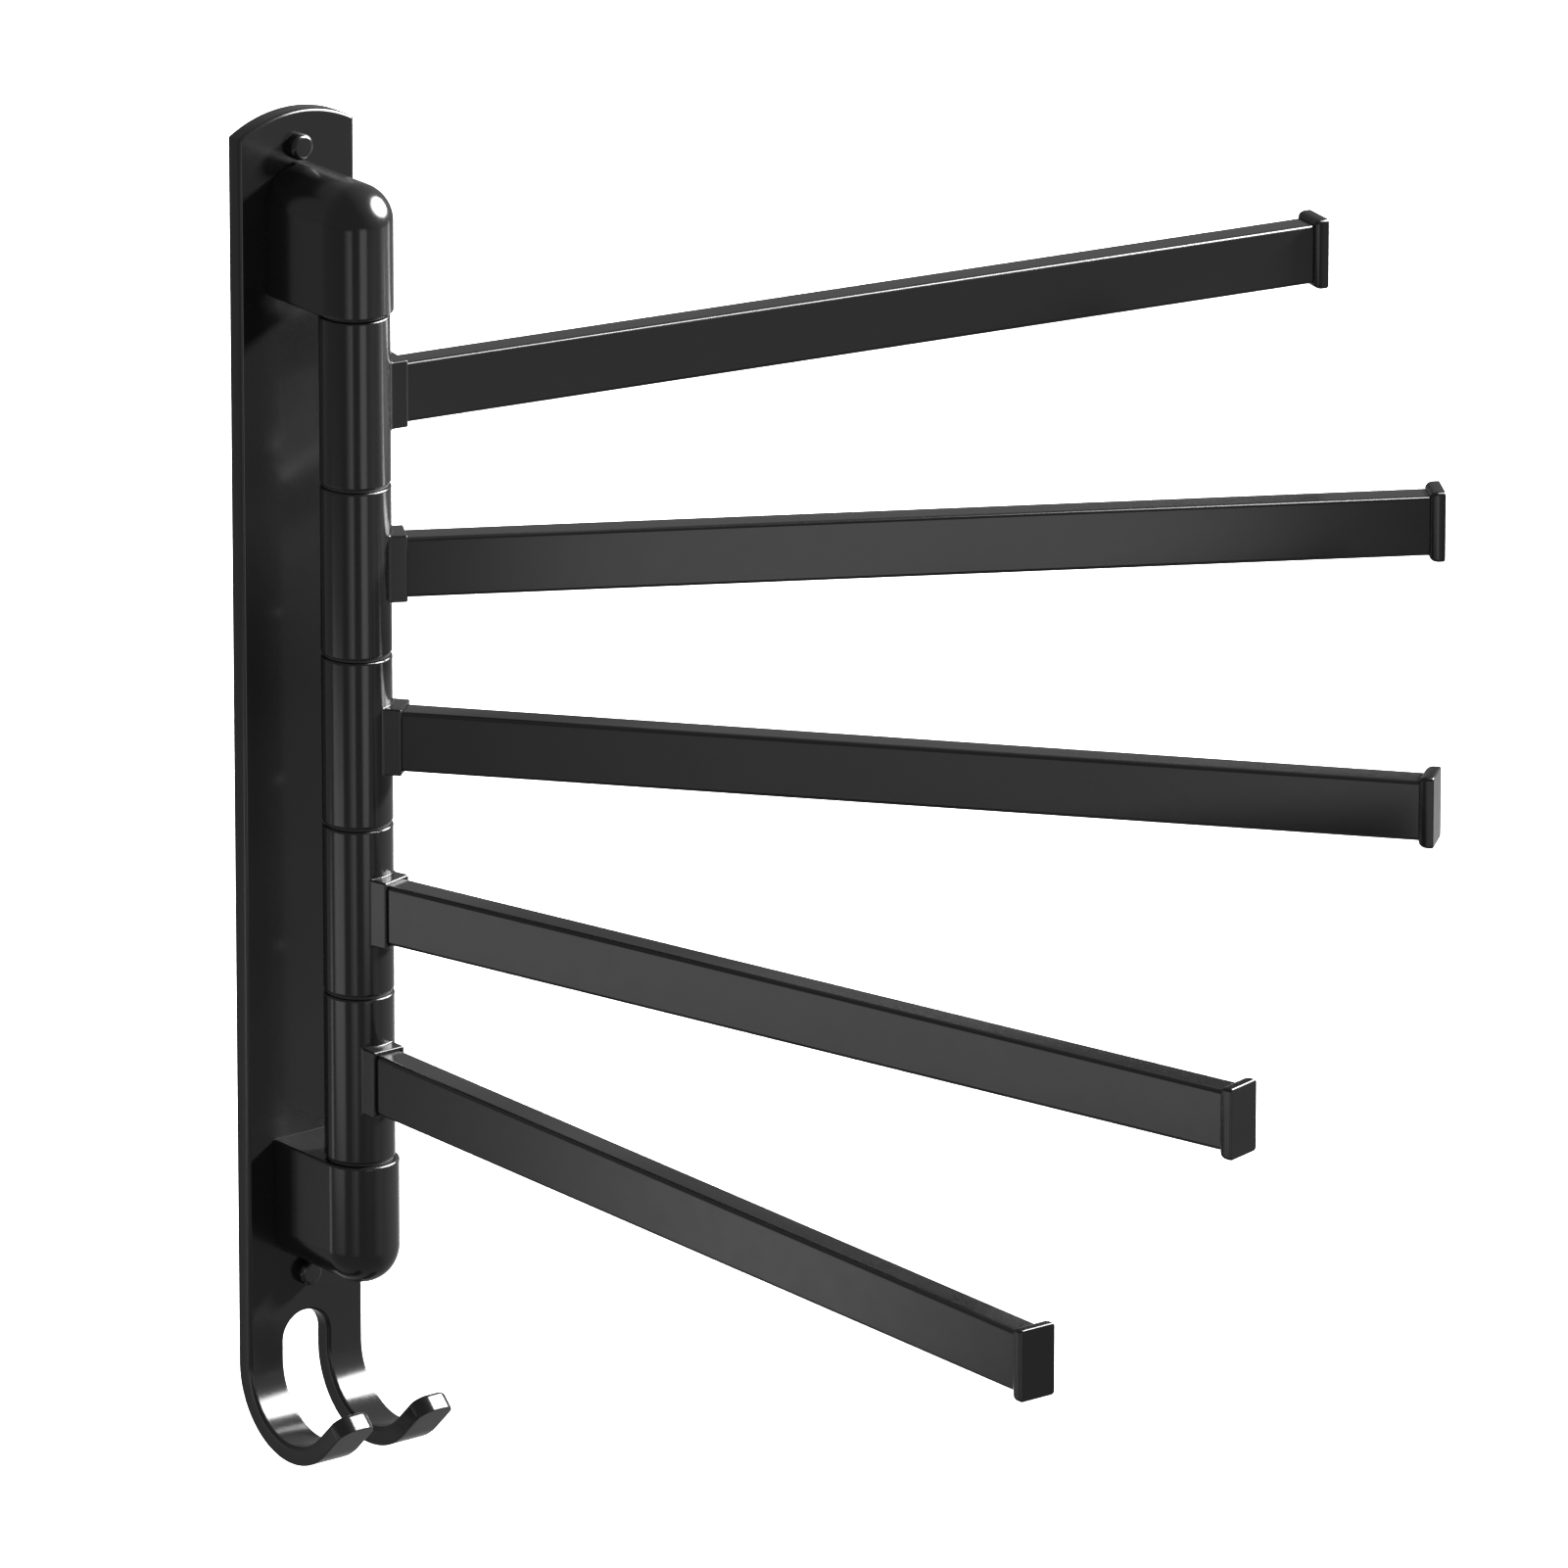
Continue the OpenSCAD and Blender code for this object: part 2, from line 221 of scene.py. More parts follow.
class RackFinishes(PropertyGroup):
    """Colours and gloss of the finishes."""

    paint: colour("Paint", "Black paint of the metal", (0.0095, 0.0095, 0.0099))
    plastic: colour("Plastic", "Black plastic of the end caps", (0.004, 0.004, 0.0042))
    steel: colour("Steel", "Bare steel of the rod and the hidden screws", (0.42, 0.43, 0.45))
    washer: colour("Washer", "Dark nylon of the washers", (0.02, 0.02, 0.021))
    bush: colour("Bush", "Natural nylon of the bushes", (0.78, 0.74, 0.64))
    paint_gloss: share("Paint roughness", "Roughness of the paint", 0.18)
    plastic_gloss: share("Plastic roughness", "Roughness of the caps", 0.22)
    reflection: share("Reflection", "Strength of the coatings' reflection", 0.5)
    rod_gloss: share("Rod roughness", "Roughness of the rod", 0.28)
    screw_gloss: share("Screw roughness", "Roughness of the bracket screws", 0.34)
    bush_glow: share("Bush glow", "Share of the light that spreads inside a bush", 0.15)
    peel: length("Orange peel", "Depth of the paint's orange peel", 0.000004)
    fine_peel: length("Fine peel", "Depth of the peel on the small pieces", 0.000003)
    grain: length("Grain", "Depth of the paint's grain", 0.0000005)
    cap_grain: length("Cap grain", "Depth of the caps' grain", 0.0000008)


class RackStage(PropertyGroup):
    """Camera, floor and lights."""

    lens: FloatProperty(name="Lens", description="Focal length in mm", default=456.8, min=1)
    camera_place: FloatVectorProperty(
        name="Camera", description="Place of the camera", size=3, subtype="TRANSLATION",
        unit="LENGTH", default=(-3.1684, -4.3283, 1.7374), precision=4,
    )
    camera_aim: FloatVectorProperty(
        name="Aim", description="Point at the middle of the view", size=3, subtype="TRANSLATION",
        unit="LENGTH", default=(0.0792, -0.1263, -0.0056), precision=4,
    )
    floor_drop: length("Floor drop", "Depth of the floor below the origin", 1.2)
    floor_size: length("Floor size", "Width of the floor", 60)
    floor_colour: colour("Floor", "Pale floor", (0.86, 0.86, 0.86))
    room_light: share("Room light", "Brightness of the room all round", 0.27)


def sizes(name):
    """One of the scene's groups of values."""
    return getattr(bpy.context.scene, name)


def line_to(bm, vert, point):
    """Draws a straight edge from a vertex to a point and returns the vertex there."""
    drawn = bmesh.ops.extrude_vert_indiv(bm, verts=[vert])["verts"][0]
    drawn.co = point
    return drawn


def arc_to(bm, vert, centre, axis, turn, steps):
    """Draws an arc from a vertex about an axis and returns the vertex at its end."""
    spun = bmesh.ops.spin(
        bm, geom=[vert], cent=centre, axis=axis, angle=turn, steps=steps, use_duplicate=False
    )
    return next(part for part in spun["geom_last"] if isinstance(part, bmesh.types.BMVert))


def revolve(bm, edges, centre, axis, turn, steps):
    """Turns edges about an axis into a surface and returns the edges at its end."""
    spun = bmesh.ops.spin(
        bm, geom=edges, cent=centre, axis=axis, angle=turn, steps=steps, use_duplicate=False
    )
    return [part for part in spun["geom_last"] if isinstance(part, bmesh.types.BMEdge)]


def push_edges(bm, edges, move):
    """Draws edges out along a vector into faces and returns the edges at their far side."""
    made = bmesh.ops.extrude_edge_only(bm, edges=edges)["geom"]
    bmesh.ops.translate(bm, verts=[p for p in made if isinstance(p, bmesh.types.BMVert)], vec=move)
    return [part for part in made if isinstance(part, bmesh.types.BMEdge)]


def verts_of(edges):
    """The vertices that edges or faces share, each once."""
    return list({vert for edge in edges for vert in edge.verts})


def fill(bm, edges):
    """Closes a loop of edges with one face and returns it."""
    return bmesh.ops.edgeloop_fill(bm, edges=edges)["faces"][0]


def round_edges(bm, edges, radius, segments):
    """Rounds edges."""
    bmesh.ops.bevel(
        bm, geom=edges, offset=radius, offset_type="OFFSET", segments=segments, profile=0.5,
        affect="EDGES", clamp_overlap=True, material=-1,
    )


def all_parts(bm):
    """All vertices, edges and faces of a mesh."""
    return bm.verts[:] + bm.edges[:] + bm.faces[:]


def thicken(bm, move):
    """Draws all faces out along a vector into a solid."""
    made = bmesh.ops.extrude_face_region(bm, geom=bm.faces[:], use_keep_orig=True)["geom"]
    moved = [part for part in made if isinstance(part, bmesh.types.BMVert)]
    bmesh.ops.translate(bm, verts=moved, vec=move)


def weld(bm):
    """Merges doubles and points all faces outwards."""
    bmesh.ops.remove_doubles(bm, verts=bm.verts, dist=TINY)
    bmesh.ops.recalc_face_normals(bm, faces=bm.faces)


def mirror_x(bm):
    """Adds the mirror image across the middle plane and welds the two halves."""
    bmesh.ops.mirror(
        bm, geom=all_parts(bm), matrix=Matrix.Identity(4), merge_dist=TINY, axis="X"
    )
    weld(bm)


def is_sharp(edge):
    """Tells whether an edge lies between two faces that meet at a clear angle."""
    return len(edge.link_faces) == 2 and edge.calc_face_angle(0) > SHARP_ANGLE


def at(value, target):
    """Tells whether a coordinate is at a place."""
    return abs(value - target) < NEAR


def across(part, axis, place):
    """Tells whether an edge or a face lies on the plane across an axis at a place."""
    return all(at(vert.co[axis], place) for vert in part.verts)


def edges_across(bm, axis, place):
    """The edges that lie on the plane across an axis at a place."""
    return [edge for edge in bm.edges if across(edge, axis, place)]


def finish_piece(bm, name, body, nodes, material):
    """Makes a piece from its mesh, smooth shaded, and sets it on its body."""
    mesh = bpy.data.meshes.new(name)
    bm.to_mesh(mesh)
    bm.free()
    mesh.shade_smooth()
    mesh.set_sharp_from_angle(angle=SMOOTH_ANGLE)
    mesh.materials.append(material)
    piece = bpy.data.objects.new(name, mesh)
    bpy.context.scene.collection.objects.link(piece)
    shading = piece.modifiers.new("Even shading", "WEIGHTED_NORMAL")
    shading.keep_sharp = True
    shading.weight = 100
    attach(piece, body)
    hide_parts(*nodes)


def arm_place(n):
    """Turns a shape drawn along +X about the origin into the place of one arm."""
    joint = JOINTS[n - 1]
    turn = Matrix.Rotation(math.radians(joint["range_deg"][0]), 4, "Z")
    return Matrix.Translation(Vector(joint["pos_m"])) @ turn


def link(tree, source, target):
    """Joins two sockets of a node tree."""
    tree.links.new(source, target)


def noise(tree, scale, detail, stretch=(1, 1, 1)):
    """Noise on Object coordinates, its pattern stretched along the axes."""
    coordinates = tree.nodes.new("ShaderNodeTexCoord")
    mapping = tree.nodes.new("ShaderNodeMapping")
    mapping.inputs["Scale"].default_value = stretch
    texture = tree.nodes.new("ShaderNodeTexNoise")
    texture.inputs["Scale"].default_value = scale
    texture.inputs["Detail"].default_value = detail
    link(tree, coordinates.outputs["Object"], mapping.inputs["Vector"])
    link(tree, mapping.outputs["Vector"], texture.inputs["Vector"])
    return texture.outputs["Fac"]


def spread(tree, value, low, high):
    """Maps a noise to a range of values."""
    node = tree.nodes.new("ShaderNodeMapRange")
    node.inputs["From Min"].default_value = 0.3
    node.inputs["From Max"].default_value = 0.7
    node.inputs["To Min"].default_value = low
    node.inputs["To Max"].default_value = high
    link(tree, value, node.inputs["Value"])
    return node.outputs["Result"]


def tint(tree, value, base, lift):
    """Mixes a colour with a lighter one by a noise."""
    ramp = tree.nodes.new("ShaderNodeValToRGB")
    ramp.color_ramp.elements[0].position = 0.35
    ramp.color_ramp.elements[1].position = 0.65
    ramp.color_ramp.elements[0].color = (*base, 1)
    ramp.color_ramp.elements[1].color = (*[channel * lift for channel in base], 1)
    link(tree, value, ramp.inputs["Fac"])
    return ramp.outputs["Color"]


def bumps(tree, height, depth, under=None):
    """Raises the surface by a noise of some depth."""
    node = tree.nodes.new("ShaderNodeBump")
    node.inputs["Distance"].default_value = depth
    node.inputs["Strength"].default_value = 1
    link(tree, height, node.inputs["Height"])
    if under is not None:
        link(tree, under, node.inputs["Normal"])
    return node.outputs["Normal"]


def new_finish(name):
    """An empty finish: its node tree and its shader."""
    material = bpy.data.materials.new(name)
    material.use_nodes = True
    return material, material.node_tree, material.node_tree.nodes["Principled BSDF"]


def coated(name, base, roughness, reflection, peel, grain):
    """Black coating: faint cloudiness, an orange-peel skin and a fine grain."""
    material, tree, shader = new_finish(name)
    cloud = noise(tree, scale=35, detail=3)
    link(tree, tint(tree, cloud, base, lift=1.12), shader.inputs["Base Color"])
    patch = noise(tree, scale=160, detail=4)
    link(tree, spread(tree, patch, roughness * 0.96, roughness * 1.05), shader.inputs["Roughness"])
    skin = bumps(tree, noise(tree, scale=900, detail=2), peel)
    dust = bumps(tree, noise(tree, scale=5200, detail=2), grain, skin)
    link(tree, dust, shader.inputs["Normal"])
    shader.inputs["Specular IOR Level"].default_value = reflection
    return material


def turned_steel(name, base, roughness):
    """Bare steel with fine marks round its turned surface."""
    material, tree, shader = new_finish(name)
    marks = noise(tree, scale=700, detail=4, stretch=(0.15, 0.15, 4))
    link(tree, tint(tree, marks, base, lift=1.2), shader.inputs["Base Color"])
    link(tree, spread(tree, marks, roughness * 0.8, roughness * 1.2), shader.inputs["Roughness"])
    link(tree, bumps(tree, marks, depth=0.000004), shader.inputs["Normal"])
    shader.inputs["Metallic"].default_value = 1
    return material


def nylon(name, base, glow):
    """Moulded nylon: softly mottled, with a satin skin."""
    material, tree, shader = new_finish(name)
    mottle = noise(tree, scale=420, detail=3)
    link(tree, tint(tree, mottle, base, lift=1.12), shader.inputs["Base Color"])
    link(tree, spread(tree, mottle, low=0.42, high=0.55), shader.inputs["Roughness"])
    skin = bumps(tree, noise(tree, scale=2600, detail=2), depth=0.000006)
    link(tree, skin, shader.inputs["Normal"])
    shader.inputs["Subsurface Weight"].default_value = glow
    shader.inputs["Subsurface Scale"].default_value = 0.001
    return material


def finish(name):
    """One of the rack's finishes by name, made when it is first asked for."""
    if name in bpy.data.materials:
        return bpy.data.materials[name]
    look = sizes("rack_finishes")
    paint = tuple(look.paint), look.paint_gloss, look.reflection
    plastic = tuple(look.plastic), look.plastic_gloss, look.reflection
    makers = {
        "screw_paint": (coated, *paint, look.fine_peel, look.grain),
        "cap_plastic": (coated, *plastic, look.fine_peel, look.cap_grain),
        "rod_steel": (turned_steel, tuple(look.steel), look.rod_gloss),
        "screw_steel": (turned_steel, tuple(look.steel), look.screw_gloss),
        "washer_nylon": (nylon, tuple(look.washer), 0),
        "bush_nylon": (nylon, tuple(look.bush), look.bush_glow),
    }
    for piece in ("plate", "bracket", "sleeve", "bar"):
        makers[f"{piece}_paint"] = (coated, *paint, look.peel, look.grain)
    make, *values = makers[name]
    return make(name, *values)


class RACK_OT_wall_plate(Operator):
    """Model the wall plate and bend its foot into the hook."""

    bl_idname = "rack.wall_plate"
    bl_label = "Wall plate"

    def half_outline(self, bm, plate, places):
        """Draws the right half of the flat plate's outline on the wall plane."""
        half = PLATE_HIGH.x
        top = PLATE_HIGH.z
        dome_radius = (half**2 + plate.dome_rise**2) / (2 * plate.dome_rise)
        dome_centre = Vector((0, 0, top - dome_radius))
        corner = plate.prong_corner
        foot = places["foot"]
        slot = plate.slot_width / 2
        start = bm.verts.new((0, 0, top))
        pen = arc_to(bm, start, dome_centre, Y_AXIS, math.asin(half / dome_radius), DOME_STEPS)
        pen = line_to(bm, pen, (half, 0, foot + corner))
        pen = arc_to(bm, pen, (half - corner, 0, foot + corner), Y_AXIS, QUARTER, PRONG_STEPS)
        pen = line_to(bm, pen, (slot + corner, 0, foot))
        pen = arc_to(bm, pen, (slot + corner, 0, foot + corner), Y_AXIS, QUARTER, PRONG_STEPS)
        pen = line_to(bm, pen, (slot, 0, places["slot_round"]))
        pen = arc_to(bm, pen, (0, 0, places["slot_round"]), Y_AXIS, -QUARTER, HOLE_STEPS)
        for height, radius in places["holes"]:
            pen = line_to(bm, pen, (0, 0, height - radius))
            pen = arc_to(bm, pen, (0, 0, height), Y_AXIS, -math.pi, HOLE_STEPS)
        bm.edges.new((pen, start))
        fill(bm, bm.edges[:])

    def slab(self, bm, thickness):
        """Gives the half outline its thickness and its mirrored half."""
        thicken(bm, (0, -thickness, 0))
        seam = [f for f in bm.faces if across(f, X, 0)]
        bmesh.ops.delete(bm, geom=seam, context="FACES_ONLY")
        mirror_x(bm)

    def round_rims(self, bm, plate, places, thickness):
        """Rounds the rims and sinks the cones of the bracket screws from behind."""

        def near_hole(edge, heights, radius):
            middle = (edge.verts[0].co + edge.verts[1].co) / 2
            return any(
                math.hypot(middle.x, middle.z - height) < radius * HOLE_REACH
                for height in heights
            )

        def rim(depth):
            return [e for e in edges_across(bm, Y, depth) if is_sharp(e)]

        cones = [
            e for e in rim(0) if near_hole(e, places["bracket_screws"], plate.bracket_hole)
        ]
        round_edges(bm, cones, plate.countersink, segments=1)
        front = [
            e for e in rim(-thickness)
            if not near_hole(e, places["bracket_screws"], plate.bracket_hole)
            and not near_hole(e, places["wall_screws"], plate.screw_hole)
        ]
        round_edges(bm, front, plate.front_rim, segments=4)
        back = [
            e for e in rim(0)
            if not near_hole(e, places["bracket_screws"], plate.countersink + plate.bracket_hole)
        ]
        round_edges(bm, back, plate.back_rim, segments=2)

    def bend(self, bm, plate, places, thickness):
        """Cuts the foot into steps and rolls it forward into the hook."""
        start, run = places["bend"], places["bend_run"]
        for i in range(plate.bend_steps + 1):
            bmesh.ops.bisect_plane(
                bm, geom=all_parts(bm), dist=TINY, plane_no=Z_AXIS,
                plane_co=(0, 0, start - run * i / plate.bend_steps),
            )
        centre = -thickness - plate.hook_radius
        for vert in bm.verts:
            drop = start - vert.co.z
            if drop <= 0:
                continue
            turn = plate.hook_turn * min(drop / run, 1)
            straight = max(drop - run, 0)
            radius = vert.co.y - centre
            vert.co.y = centre + radius * math.cos(turn) - straight * math.sin(turn)
            vert.co.z = start - radius * math.sin(turn) - straight * math.cos(turn)

    def execute(self, context):
        plate = sizes("rack_plate")
        thickness = -BRACKET_HIGH.y
        head_radius = SCREWS_HIGH.x
        screw_z = SCREWS_HIGH.z - head_radius
        seat = BRACKET_LOW.z + plate.bracket_inset
        bracket_screws = [seat, seat + plate.bracket_pitch]
        bracket_screws = [-z for z in reversed(bracket_screws)] + bracket_screws
        slot_top = -screw_z - head_radius - plate.slot_gap
        bend = slot_top - plate.bend_drop
        bend_run = plate.hook_turn * (plate.hook_radius + thickness / 2)
        places = {
            "slot_round": slot_top - plate.slot_width / 2,
            "bend": bend,
            "bend_run": bend_run,
            "foot": bend - bend_run - plate.prong_length,
            "bracket_screws": bracket_screws,
            "wall_screws": [-screw_z, screw_z],
            "holes": [
                (-screw_z, plate.screw_hole),
                *[(z, plate.bracket_hole) for z in bracket_screws],
                (screw_z, plate.screw_hole),
            ],
        }
        bm = bmesh.new()
        self.half_outline(bm, plate, places)
        self.slab(bm, thickness)
        self.round_rims(bm, plate, places, thickness)
        self.bend(bm, plate, places, thickness)
        weld(bm)
        finish_piece(
            bm, "wall_plate", "root", ["back_plate"], finish("plate_paint")
        )
        return {"FINISHED"}


class RACK_OT_brackets(Operator):
    """Model the upper bracket, and the lower one as its mirror image."""

    bl_idname = "rack.brackets"
    bl_label = "Brackets"

    def half_shell(self, bm, radius, seat, end):
        """Draws the right half of the nose and of the body behind it, up to the plate."""
        pivot = Vector((0, PIVOT_Y, 0))
        pen = bm.verts.new((0, PIVOT_Y - radius, seat))
        pen = line_to(bm, pen, (0, PIVOT_Y - radius, end - radius))
        arc_to(bm, pen, pivot + Z_AXIS * (end - radius), X_AXIS, -QUARTER, NOSE_END_STEPS)
        side = revolve(bm, bm.edges[:], pivot, Z_AXIS, QUARTER, NOSE_STEPS)
        push_edges(bm, side, (0, BRACKET_HIGH.y - PIVOT_Y, 0))
        bmesh.ops.remove_doubles(bm, verts=bm.verts, dist=TINY)

    def half_bore(self, bm, radius, depth, seat):
        """Draws the right half of the blind hole for the rod and returns its rim's two ends."""
        rim = bm.verts.new((0, PIVOT_Y - radius, seat))
        before = set(bm.edges)
        arc_to(bm, rim, (0, PIVOT_Y, seat), Z_AXIS, math.pi, BORE_STEPS)
        arc = [edge for edge in bm.edges if edge not in before]
        top = push_edges(bm, arc, (0, 0, depth))
        ends = [v for v in verts_of(top) if at(v.co.x, 0)]
        fill(bm, top + [bm.edges.new(ends)])
        return sorted((v for v in verts_of(arc) if at(v.co.x, 0)), key=lambda v: v.co.y)

    def execute(self, context):
        bracket = sizes("rack_bracket")
        radius, wall = BRACKET_HIGH.x, BRACKET_HIGH.y
        seat, end = BRACKET_LOW.z, BRACKET_HIGH.z
        bore = ROD_RADIUS + bracket.bore_gap
        for name, node, side in (("upper", "upper_bracket", 1), ("lower", "lower_bracket", -1)):
            bm = bmesh.new()
            self.half_shell(bm, radius, seat, end)
            nose = min(bm.verts, key=lambda v: (v.co.y, v.co.z))
            outline = verts_of(edges_across(bm, Y, wall))
            back_low = line_to(bm, min(outline, key=lambda v: v.co.z), (0, wall, seat))
            back_top = max(outline, key=lambda v: v.co.z)
            fill(bm, edges_across(bm, Y, wall) + [bm.edges.new((back_low, back_top))])
            front_rim, back_rim = self.half_bore(bm, bore, bracket.bore_depth, seat)
            bm.edges.new((nose, front_rim))
            bm.edges.new((back_rim, back_low))
            fill(bm, edges_across(bm, Z, seat))
            mirror_x(bm)
            back = [e for e in edges_across(bm, Y, wall) if is_sharp(e)]
            round_edges(bm, back, bracket.plate_rim, segments=2)
            inner = [
                e for e in edges_across(bm, Z, seat)
                if is_sharp(e) and max(v.co.y for v in e.verts) < wall - 2 * TINY
                and all(
                    math.hypot(v.co.x, v.co.y - PIVOT_Y) > BORE_REACH * bore for v in e.verts
                )
            ]
            round_edges(bm, inner, bracket.inner_rim, segments=3)
            bmesh.ops.scale(bm, verts=bm.verts, vec=(1, 1, side))
            weld(bm)
            finish_piece(
                bm, f"{name}_bracket_casting", "root", [node],
                finish("bracket_paint"),
            )
        return {"FINISHED"}


class RACK_OT_sleeves(Operator):
    """Model the five sleeves, each with the boss that holds its arm."""

    bl_idname = "rack.sleeves"
    bl_label = "Sleeves"

    def tube(self, bm, arm, radius, half, boss_half, boss_low, boss_high):
        """Turns the sleeve's wall, with columns where the boss's sides will stand."""
        bore = BUSH_RADIUS + arm.bush_gap
        rim, chamfer = arm.sleeve_rim, arm.bore_rim
        start = bm.verts.new((radius, 0, boss_low))
        pen = line_to(bm, start, (radius, 0, boss_high))
        pen = line_to(bm, pen, (radius, 0, half - rim))
        pen = arc_to(bm, pen, (radius - rim, 0, half - rim), Y_AXIS, -QUARTER, SLEEVE_RIM_STEPS)
        pen = line_to(bm, pen, (bore + chamfer, 0, half))
        pen = line_to(bm, pen, (bore, 0, half - chamfer))
        pen = line_to(bm, pen, (bore, 0, -half + chamfer))
        pen = line_to(bm, pen, (bore + chamfer, 0, -half))
        pen = line_to(bm, pen, (radius - rim, 0, -half))
        pen = arc_to(bm, pen, (radius - rim, 0, rim - half), Y_AXIS, -QUARTER, SLEEVE_RIM_STEPS)
        bm.edges.new((pen, start))
        side_turn = math.asin(boss_half / radius)
        bmesh.ops.rotate(bm, verts=bm.verts, matrix=Matrix.Rotation(-side_turn, 3, "Z"))
        last = revolve(bm, bm.edges[:], (0, 0, 0), Z_AXIS, 2 * side_turn, BOSS_SIDE_STEPS)
        revolve(bm, last, (0, 0, 0), Z_AXIS, 2 * (math.pi - side_turn), SLEEVE_STEPS)
        weld(bm)

    def boss(self, bm, arm, radius, boss_half, boss_low, boss_high, boss_end):
        """Draws the boss out of the sleeve's wall and sinks its socket."""
        window = [
            f for f in bm.faces
            if all(boss_low - TINY < v.co.z < boss_high + TINY for v in f.verts)
            and all(abs(v.co.y) < boss_half + TINY and v.co.x > 0 for v in f.verts)
            and all(v.co.xy.length > radius - 2 * TINY for v in f.verts)
        ]
        bmesh.ops.delete(bm, geom=window, context="FACES")
        root = [e for e in bm.edges if e.is_boundary]
        end = push_edges(bm, root, (0, 0, 0))
        end = [e for e in end if e.is_boundary]
        for vert in verts_of(end):
            vert.co.x = boss_end
        face = fill(bm, end)
        weld(bm)
        sides = [
            e for e in bm.edges
            if is_sharp(e) and not at(e.verts[0].co.x, e.verts[1].co.x)
            and all(at(abs(v.co.y), boss_half) for v in e.verts)
        ]
        root = [e for e in root if e.is_valid]
        round_edges(bm, root + sides + face.edges[:], arm.boss_rim, segments=3)
        face = max(bm.faces, key=lambda f: f.calc_center_median().x)
        lip = arm.boss_lip - arm.bar_gap - arm.boss_rim
        bmesh.ops.inset_region(bm, faces=[face], thickness=lip, use_even_offset=True)
        face = max(bm.faces, key=lambda f: (round(f.calc_center_median().x, 6), f.calc_area()))
        made = bmesh.ops.extrude_discrete_faces(bm, faces=[face])["faces"]
        floor = PIVOT_Y - BAR_HIGH.y - arm.bar_gap
        bmesh.ops.translate(bm, verts=made[0].verts, vec=(floor - boss_end, 0, 0))

    def execute(self, context):
        arm = sizes("rack_arm")
        radius = SLEEVE_HIGH.x
        half = SLEEVE_HIGH.z - ARM_Z
        boss_half = BAR_HIGH.x + arm.boss_lip
        boss_low = BAR_LOW.z - ARM_Z - arm.boss_lip
        boss_high = BAR_HIGH.z - ARM_Z + arm.boss_lip
        boss_end = PIVOT_Y - SLEEVE_LOW.y
        for n in ARMS:
            bm = bmesh.new()
            self.tube(bm, arm, radius, half, boss_half, boss_low, boss_high)
            self.boss(bm, arm, radius, boss_half, boss_low, boss_high, boss_end)
            weld(bm)
            bmesh.ops.transform(bm, verts=bm.verts, matrix=arm_place(n))
            finish_piece(
                bm, f"sleeve_{n}_casting", f"arm_{n}", [f"sleeve_{n}"],
                finish("sleeve_paint"),
            )
        return {"FINISHED"}


def rounded_panel(bm, x, half_width, low, high, corner, segments):
    """A rectangle with round corners that faces along X, and returns its face."""
    points = [(-half_width, low), (half_width, low), (half_width, high), (-half_width, high)]
    face = bm.faces.new([bm.verts.new((x, y, z)) for y, z in points])
    bmesh.ops.bevel(
        bm, geom=face.verts[:], offset=corner, offset_type="OFFSET", segments=segments,
        profile=0.5, affect="VERTICES", material=-1,
    )
    return bm.faces[:][0]


class RACK_OT_bars(Operator):
    """Model the five arm bars, each a rectangular tube."""

    bl_idname = "rack.bars"
    bl_label = "Arm bars"

    def execute(self, context):
        arm = sizes("rack_arm")
        start, end = PIVOT_Y - BAR_HIGH.y, PIVOT_Y - BAR_LOW.y
        for n in ARMS:
            bm = bmesh.new()
            face = rounded_panel(
                bm, start, BAR_HIGH.x, BAR_LOW.z - ARM_Z, BAR_HIGH.z - ARM_Z, arm.bar_round,
                segments=6,
            )
            bmesh.ops.inset_region(
                bm, faces=[face], thickness=arm.bar_wall, use_even_offset=True, use_boundary=True
            )
            middle = max(bm.faces, key=lambda f: len(f.verts))
            bmesh.ops.delete(bm, geom=[middle], context="FACES_ONLY")
            thicken(bm, (end - start, 0, 0))
            weld(bm)
            bmesh.ops.transform(bm, verts=bm.verts, matrix=arm_place(n))
            finish_piece(
                bm, f"arm_{n}_tube", f"arm_{n}", [f"arm_bar_{n}"],
                finish("bar_paint"),
            )
        return {"FINISHED"}


